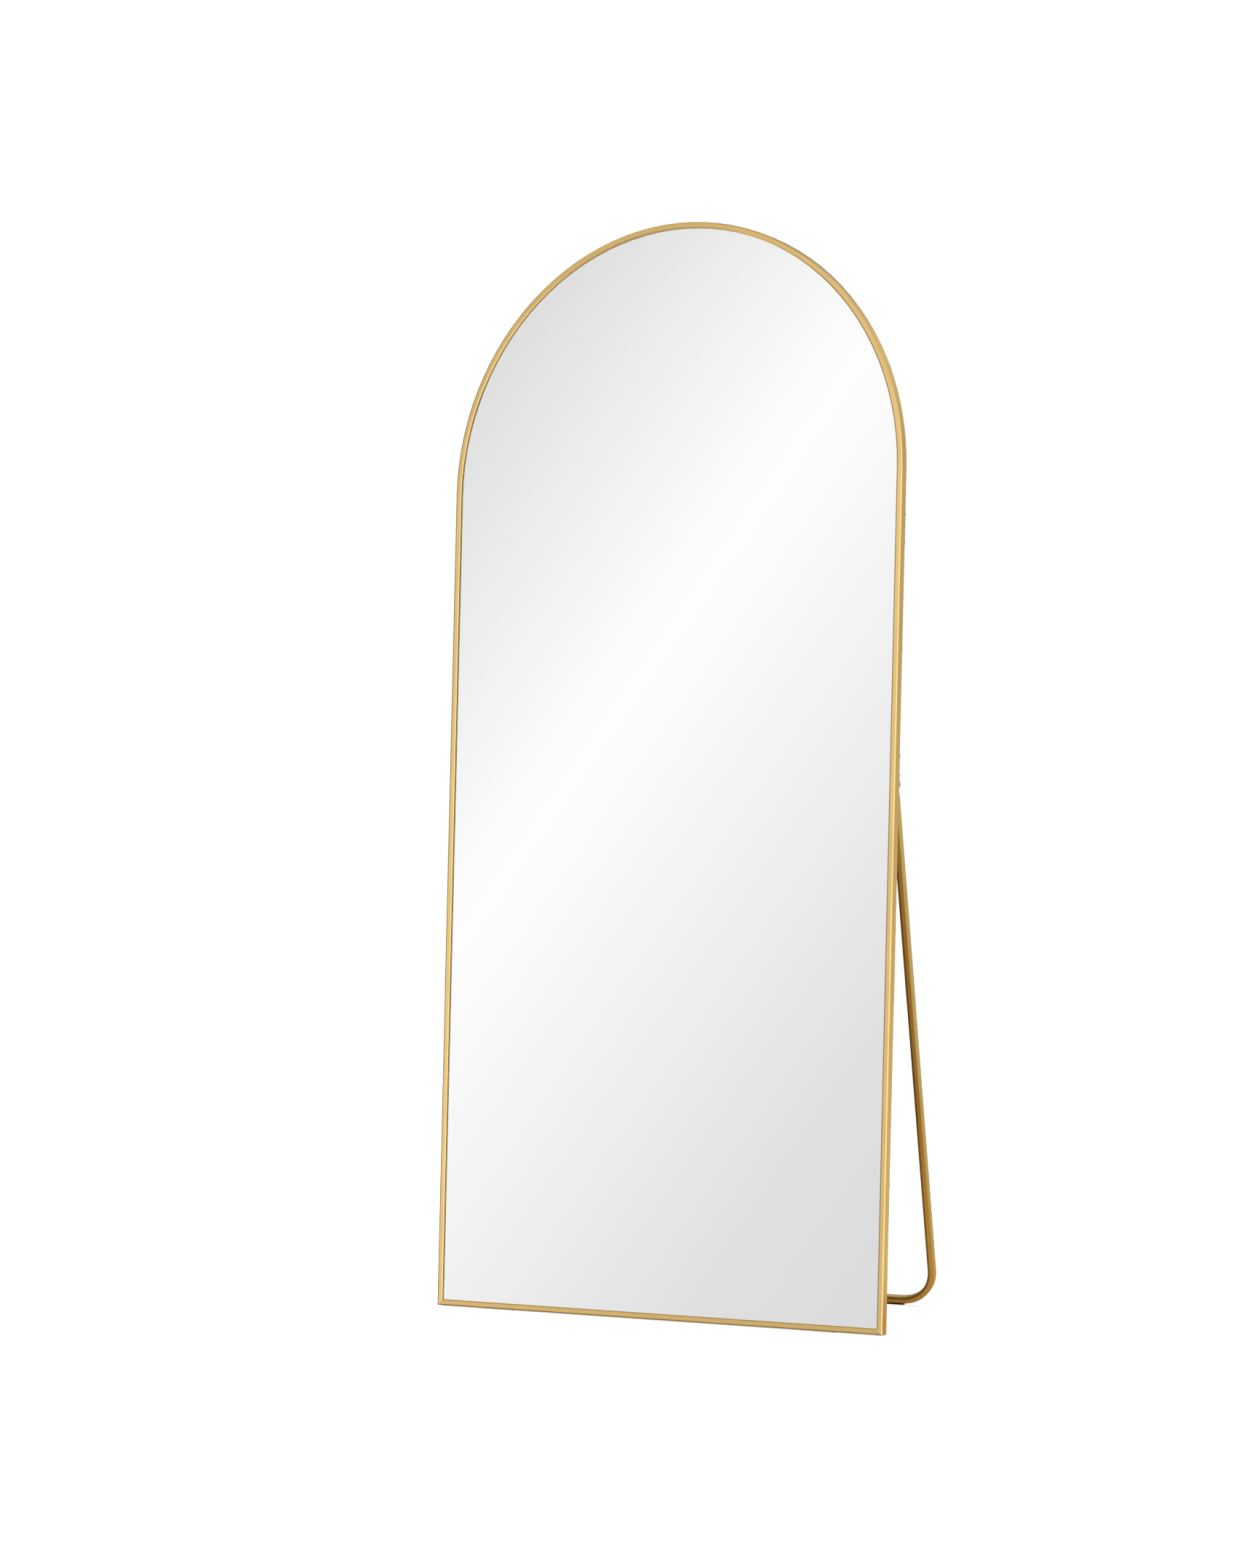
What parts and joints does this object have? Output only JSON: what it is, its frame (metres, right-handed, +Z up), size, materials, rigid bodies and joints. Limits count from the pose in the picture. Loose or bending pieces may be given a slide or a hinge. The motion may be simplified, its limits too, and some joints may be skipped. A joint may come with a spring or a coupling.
{
  "type": "leaning floor mirror",
  "caption": "Tall arched mirror in a slim gold metal frame, leaning slightly back on a U-shaped tube stand that folds flat against its back.",
  "frame": {"origin": "on the floor, in the middle of the footprint across and from front to back", "axes": "+X to the right seen from the front, +Y towards the back, +Z up; the glass looks towards -Y"},
  "size_m": [0.85, 0.4317, 1.7998],
  "materials": {
    "gold_frame": "satin gold anodised",
    "gold_stand": "satin gold lacquer on steel tube",
    "key_metal": "mill finish",
    "silvered_glass": "polished",
    "film": "thin polymer film",
    "foam": "closed-cell foam",
    "board": "black faced fibreboard",
    "spring_steel": "zinc plated",
    "screw_steel": "zinc plated",
    "bracket_steel": "zinc plated",
    "bolt_steel": "zinc plated",
    "nylon": "moulded nylon",
    "bush_brass": "turned",
    "plug_plastic": "moulded",
    "rubber": "moulded"
  },
  "bodies": {
    "mirror": {"frame_arch": "gold_frame", "bottom_rail": "gold_frame", "corner_key_left": "key_metal", "corner_key_right": "key_metal", "glazing_tape": "foam", "mirror_glass": "silvered_glass", "safety_film": "film", "foam_sheet": "foam", "backing_board": "board", "board_clips": "spring_steel", "board_clip_screws": "screw_steel", "hinge_bracket_left": "bracket_steel", "hinge_bracket_right": "bracket_steel", "hinge_bracket_screws": "screw_steel", "pivot_bolt_left": "bolt_steel", "pivot_bolt_right": "bolt_steel", "pivot_nut_left": "bolt_steel", "pivot_nut_right": "bolt_steel", "pivot_washers": "nylon", "hanger_plate_left": "bracket_steel", "hanger_plate_right": "bracket_steel", "hanger_screws": "screw_steel", "frame_feet": "rubber"},
    "stand": {"stand_tube": "gold_stand", "pivot_bushes": "bush_brass", "tube_end_plugs": "plug_plastic", "stand_feet": "rubber"}
  },
  "joints": [
    {"name": "stand_fold", "type": "hinge", "parent": "mirror", "child": "stand", "pos_m": [0, -0.14908, 0.89957], "axis": [-1, 0, 0], "range_deg": [0, 24.5]}
  ]
}
